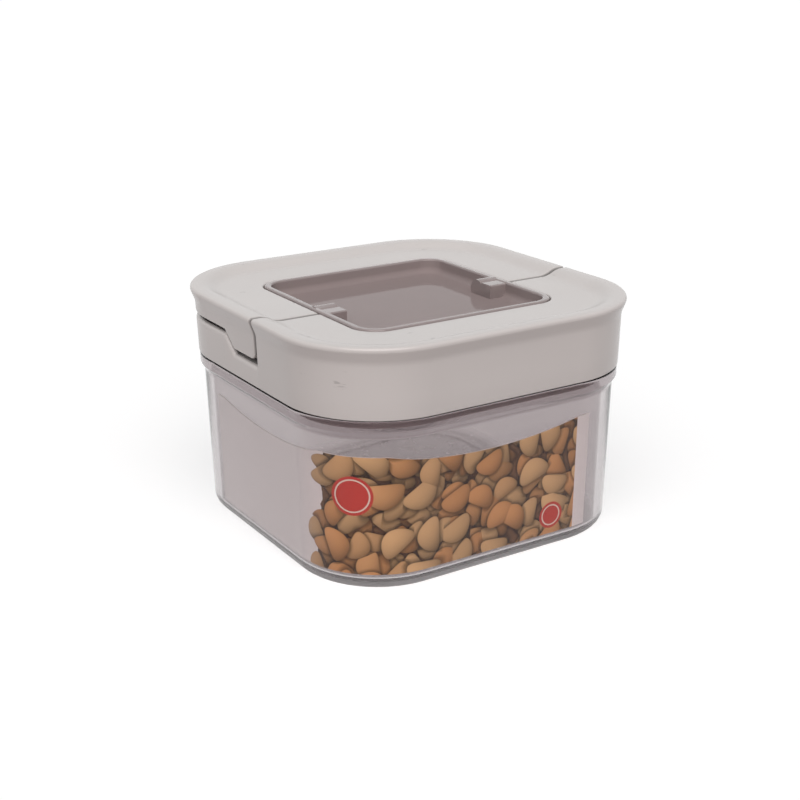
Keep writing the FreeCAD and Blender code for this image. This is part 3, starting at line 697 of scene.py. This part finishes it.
# Flip handle: one satin white moulding, a channel that makes the rear half of the top ring, with a deep
# lug at each end that drops into a pocket of the skirt. Its hubs turn on the pins, and a cam beside each
# hub presses on the base ring.
handle_front, handle_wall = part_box("flip_handle")[0].y, 1.9 * mm
handle_low = lip_top - 7.6 * mm
pivot_y, pivot_z = -1.9 * mm, lip_top - 4.4 * mm
handle_corners = [(skirt_half(lug_low), lug_low, 0.4 * mm)] + top_run + [
    (skirt_half(skin_low) - handle_wall, skin_low),
    (skirt_half(lug_low) - handle_wall, lug_low, 0.4 * mm)]
lug = trace([
    (handle_front, lug_low + 5 * mm),
    (handle_front, lug_low, 2.5 * mm),
    (5.8 * mm, lug_low, 1.0 * mm),
    (11.2 * mm, handle_low, 1.5 * mm),
    (flat_half, handle_low)], steps=10)[1:]
handle_round = 0.8 * mm
ease = end_places(9, handle_round)
handle_places = np.unique(np.round(np.concatenate([handle_front + ease, lug[:, 0]]), 7))
lug_edge = np.interp(handle_places, lug[:, 0], lug[:, 1])
handle_stations = joined(
    along_side(1, handle_places),
    round_corners([0, 1]),
    along_side(-1, handle_places[::-1]))
edges = np.concatenate([lug_edge, np.full(2 * (corner_steps + 1), handle_low), lug_edge[::-1]])
handle_ends = end_profiles(handle_corners, 6, handle_round, handle_places - handle_front)
handle_profiles = between_ends(handle_ends, len(handle_stations[0]))
shift = (edges - lug_low)[:, None] * (handle_ends[-1, :, 1] < lug_low + 1 * mm)
handle_across = handle_profiles[..., 0] + shift * lean
channel = capped(sweep(handle_stations, handle_across, handle_profiles[..., 1] + shift))


def rod(outline, start, end):
    """An outline of (y, z) points, anticlockwise seen from +x, drawn out along x with its ends closed."""
    count = len(outline)
    flat = np.stack([np.tile(outline[:, 0], 2), np.tile(outline[:, 1], 2)], axis=1)
    points = np.concatenate([np.repeat([start, end], count)[:, None], flat], axis=1)
    k = np.arange(count)
    k_next = (k + 1) % count
    sides = np.stack([k, k_next, k_next + count, k + count], axis=1).tolist()
    return points, sides + [list(range(count))[::-1], [count + i for i in range(count)]]


root = skin_low + 0.9 * mm
hub_radius = 2.9 * mm
hub_start = opening_half + 0.1 * mm
hub_end = skirt_half(lug_low) - handle_wall / 2
round_angle = np.linspace(0, 4 * quarter, 40, endpoint=False)
hub_heights = np.minimum(pivot_z + hub_radius * np.sin(round_angle), root)
hub_outline = np.stack([pivot_y + hub_radius * np.cos(round_angle), hub_heights], axis=1)
hub = rod(hub_outline, hub_start, hub_end)
web = block((hub_start, pivot_y - hub_radius, pivot_z), (hub_end, pivot_y + hub_radius, root))
end_wall = block((opening_half + 0.3 * mm, handle_front + 0.2 * mm, flange_low + 1.2 * mm),
                 (hub_end, handle_front + 1.4 * mm, root))
cam_low = pivot_z - 7.35 * mm
cam_radius = 6.275 * mm
cam_start = skirt_half(lug_low) - 11.5 * mm
cam_front = handle_front + 0.25 * mm
cam_back = handle_front + cam_radius + 3 * mm
cam_outline = trace([
    (cam_front, root),
    (cam_front, cam_low, cam_radius),
    (cam_back, cam_low, 1.5 * mm),
    (cam_back, root)], closed=True, steps=16)
cam = rod(cam_outline, cam_start, cam_start + 4 * mm)
rib_low = flange_low + 0.4 * mm
rib_in = opening_half + 0.8 * mm
rib_out = skirt_half(handle_low) - handle_wall / 2
rib_wall = 1.2 * mm
ribs = []
for step in (0, 1):
    y = flat_half + 1.4 * mm - 12 * mm * step
    x = flat_half - 1.6 * mm - 15 * mm * step
    ribs += [block((rib_in, y, rib_low), (rib_out, y + rib_wall, root)),
             block((x, rib_in, rib_low), (x + rib_wall, rib_out, root))]
inside = [hub, web, end_wall, cam] + ribs
handle = add_piece("flip_handle", [channel] + inside + [mirrored(shell) for shell in inside])
# The handle's front end face is painted darker, as shade in the split.
handle.data.materials.append(white_plastic("white_handle", white, 0.24, handle_front))
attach(handle, "handle")
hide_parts("flip_handle")


# Stage: a plain white floor that keeps the object's shadow, under an even white sky. One broad soft lamp
# stands in front, above and a little to the left.
def ray_kinds(tree):
    """Masks of the camera's own rays, and of the rays that metal and glass send on."""
    rays = add_node(tree, "LightPath").outputs
    return rays["Is Camera Ray"], maths(tree, "MAXIMUM", rays["Is Glossy Ray"], rays["Is Transmission Ray"])


floor_mesh = bpy.data.meshes.new("floor")
corners = 30.0 * np.array([(-1, -1, 0), (1, -1, 0), (1, 1, 0), (-1, 1, 0)]) + (0, 0, -0.2 * mm)
floor_mesh.from_pydata(corners.tolist(), [], [(0, 1, 2, 3)])
floor = bpy.data.objects.new("floor", floor_mesh)
bpy.context.scene.collection.objects.link(floor)
floor_white, tree, shader = new_material("floor_white")
camera_ray, mirrored_ray = ray_kinds(tree)
tone = mixed(tree, camera_ray, (0.45, 0.39, 0.385, 1), (0.585, 0.62, 0.63, 1))
tree.links.new(mixed(tree, mirrored_ray, tone, (0, 0, 0, 1)), shader.inputs["Base Color"])
shader.inputs["Emission Color"].default_value = (1, 1, 1, 1)
glow = maths(tree, "MULTIPLY_ADD", camera_ray, 0.5, mirrored_ray)
tree.links.new(glow, shader.inputs["Emission Strength"])
shader.inputs["Roughness"].default_value = 0.9
shader.inputs["Specular IOR Level"].default_value = 0.0
floor.data.materials.append(floor_white)

world = bpy.data.worlds.new("studio")
world.use_nodes = True
bpy.context.scene.world = world
tree = world.node_tree
tree.nodes.clear()
camera_ray, mirrored_ray = ray_kinds(tree)
seen_ray = maths(tree, "MAXIMUM", camera_ray, mirrored_ray)
sky_light = 0.26
strength = maths(tree, "MULTIPLY_ADD", seen_ray, 1 - sky_light, sky_light)
sky = add_node(tree, "Background", {"Color": (1, 1, 1, 1), "Strength": strength})
add_node(tree, "OutputWorld", {"Surface": sky.outputs[0]})

lamp = bpy.data.lights.new("overhead", "SUN")
lamp.angle = math.radians(60)
lamp.energy = 2.55
lamp.color = (1, 0.91, 0.89)
lamp_object = bpy.data.objects.new("overhead", lamp)
lamp_aim = Vector((0.341, 0.545, -0.766))
lamp_object.rotation_euler = lamp_aim.to_track_quat("-Z", "Y").to_euler()
bpy.context.scene.collection.objects.link(lamp_object)

# Camera: where the photograph was taken from, at its angle and distance. The middle of the picture is a
# few pixels off the lens axis.
azimuth = math.radians(-32.496)
elevation = math.radians(19.115)
roll = math.radians(-0.283)
distance = 0.40602
target = Vector((0, 0, 33.74 * mm))
frame_pixels = 800
focal_pixels = 1353.03
middle_pixel = (404.95, 400.12)
level_share = math.cos(elevation)
back = Vector((math.sin(azimuth) * level_share, -math.cos(azimuth) * level_share, math.sin(elevation)))
right = Vector((math.cos(azimuth), math.sin(azimuth), 0))
up = back.cross(right)
tilted_right = right * math.cos(roll) + up * math.sin(roll)
tilted_up = up * math.cos(roll) - right * math.sin(roll)
camera = bpy.data.cameras.new("camera")
camera.sensor_width = 36
camera.lens = camera.sensor_width * focal_pixels / frame_pixels
camera.shift_x = (frame_pixels / 2 - middle_pixel[0]) / frame_pixels
camera.shift_y = (middle_pixel[1] - frame_pixels / 2) / frame_pixels
camera_object = bpy.data.objects.new("camera", camera)
axes = Matrix((tilted_right, tilted_up, back)).transposed().to_4x4()
camera_object.matrix_world = Matrix.Translation(target + back * distance) @ axes
bpy.context.scene.collection.objects.link(camera_object)
bpy.context.scene.camera = camera_object
bpy.context.scene.view_settings.view_transform = "Standard"
